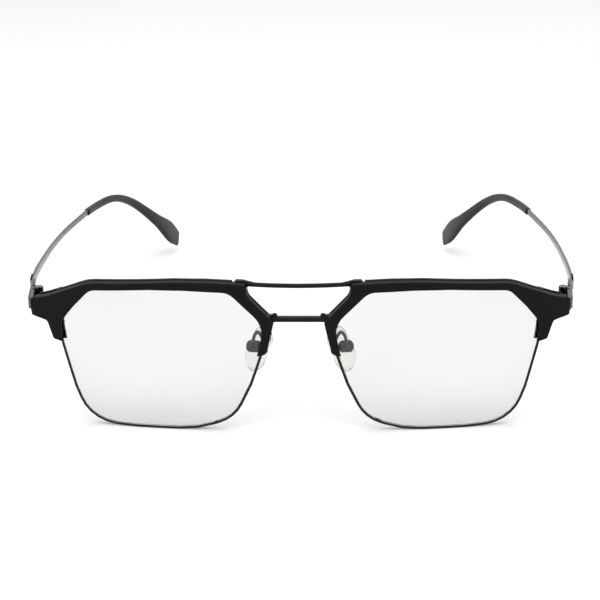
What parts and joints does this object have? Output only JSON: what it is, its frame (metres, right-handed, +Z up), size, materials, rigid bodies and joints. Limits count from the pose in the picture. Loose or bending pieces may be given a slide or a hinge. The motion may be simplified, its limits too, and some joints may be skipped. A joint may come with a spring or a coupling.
{
  "type": "eyeglass frame",
  "caption": "Full-rim eyeglass frame with matte brow plates over thin metal rims, a top bar above a lower bridge, folding metal temples with plastic tips, and adjustable nose pads.",
  "frame": {"origin": "centre of the overall box, on the plane that the rims' lowest points touch", "axes": "+Z up along the upright front, +Y from the front back towards the temple tips, +X to the right as seen from in front"},
  "size_m": [0.1468, 0.1417, 0.0421],
  "materials": {
    "brow_matte": "fine matte, near black",
    "backing_black": "smooth deep black",
    "rim_black": "satin black over thin metal",
    "bar_black": "satin black",
    "gunmetal": "satin gunmetal grey",
    "sleeve_black": "matte dark grey",
    "demo_lens": "clear and uncoated",
    "pad_clear": "clear soft silicone",
    "pad_metal": "black enamelled",
    "screw_steel": "bright, slotted"
  },
  "bodies": {
    "front": {"left_rim": "rim_black", "right_rim": "rim_black", "left_lens": "demo_lens", "right_lens": "demo_lens", "left_brow_plate": "brow_matte", "right_brow_plate": "brow_matte", "left_brow_backing": "backing_black", "right_brow_backing": "backing_black", "left_end_piece": "gunmetal", "right_end_piece": "gunmetal", "left_brow_screws": "screw_steel", "right_brow_screws": "screw_steel", "left_rim_lock": "rim_black", "right_rim_lock": "rim_black", "left_rim_screw": "screw_steel", "right_rim_screw": "screw_steel", "left_hinge_screw": "screw_steel", "right_hinge_screw": "screw_steel", "left_pad_arm": "bar_black", "right_pad_arm": "bar_black", "left_pad_screw": "screw_steel", "right_pad_screw": "screw_steel", "top_bar": "bar_black", "bridge": "bar_black"},
    "left_temple": {"left_temple_hinge": "gunmetal", "left_temple_bar": "gunmetal", "left_temple_inlay": "backing_black", "left_tip_sleeve": "sleeve_black"},
    "left_pad": {"left_pad_insert": "pad_metal", "left_nose_pad": "pad_clear"},
    "right_temple": {"right_temple_hinge": "gunmetal", "right_temple_bar": "gunmetal", "right_temple_inlay": "backing_black", "right_tip_sleeve": "sleeve_black"},
    "right_pad": {"right_pad_insert": "pad_metal", "right_nose_pad": "pad_clear"}
  },
  "joints": [
    {"name": "left_temple_fold", "type": "hinge", "parent": "front", "child": "left_temple", "pos_m": [-0.0694, -0.05564, 0.03343], "axis": [0, -0.0698, -0.9976], "range_deg": [0, 78]},
    {"name": "right_temple_fold", "type": "hinge", "parent": "front", "child": "right_temple", "pos_m": [0.0694, -0.05564, 0.03343], "axis": [0, 0.0698, 0.9976], "range_deg": [0, 74]},
    {"name": "left_pad_rock", "type": "hinge", "parent": "front", "child": "left_pad", "pos_m": [-0.0125, -0.0613, 0.0209], "axis": [0.5667, -0.788, -0.2406], "range_deg": [-8, 8]},
    {"name": "right_pad_rock", "type": "hinge", "parent": "front", "child": "right_pad", "pos_m": [0.0125, -0.0613, 0.0209], "axis": [0.5667, 0.788, 0.2406], "range_deg": [-8, 8]}
  ]
}
